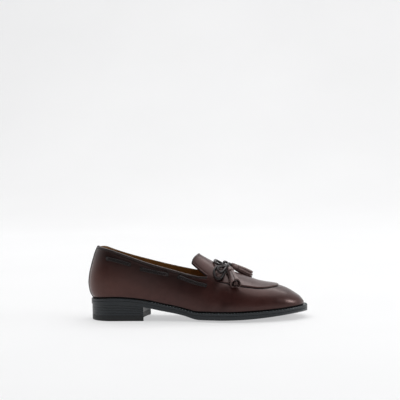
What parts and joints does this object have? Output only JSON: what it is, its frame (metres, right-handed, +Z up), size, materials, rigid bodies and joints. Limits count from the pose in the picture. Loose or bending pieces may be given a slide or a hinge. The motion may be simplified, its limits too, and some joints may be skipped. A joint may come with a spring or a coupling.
{
  "type": "leather tassel loafer",
  "caption": "Slip-on leather dress shoe with a raised apron, a plain tongue, a laced topline, a tasselled bow and a welted sole on a low stacked heel.",
  "frame": {"origin": "middle of the heel's face on the floor", "axes": "+X to the toe, +Y to the inner (medial) side, +Z up; stands on its heel and forefoot at z = 0"},
  "size_m": [0.3022, 0.1027, 0.1015],
  "materials": {
    "upper_leather": "polished dark oxblood leather",
    "trim_leather": "polished near-black leather",
    "lace_leather": "waxed near-black leather cord",
    "tassel_leather": "rolled dark leather strips",
    "sole_leather": "blackened and burnished leather",
    "welt_leather": "blackened leather with wheel marks",
    "insole_leather": "matte tan leather",
    "top_piece_rubber": "black rubber"
  },
  "bodies": {
    "root": {"outsole": "sole_leather", "welt": "welt_leather", "insole": "insole_leather", "upper": "upper_leather", "heel_lift_1": "sole_leather", "heel_lift_2": "sole_leather", "heel_lift_3": "sole_leather", "heel_lift_4": "sole_leather", "top_piece": "top_piece_rubber", "back_strip": "trim_leather", "side_lace_lateral_1": "lace_leather", "side_lace_lateral_2": "lace_leather", "side_lace_lateral_3": "lace_leather", "side_lace_medial_1": "lace_leather", "side_lace_medial_2": "lace_leather", "side_lace_medial_3": "lace_leather", "bow": "lace_leather", "tassel_lateral": "tassel_leather", "tassel_medial": "tassel_leather"}
  },
  "joints": []
}
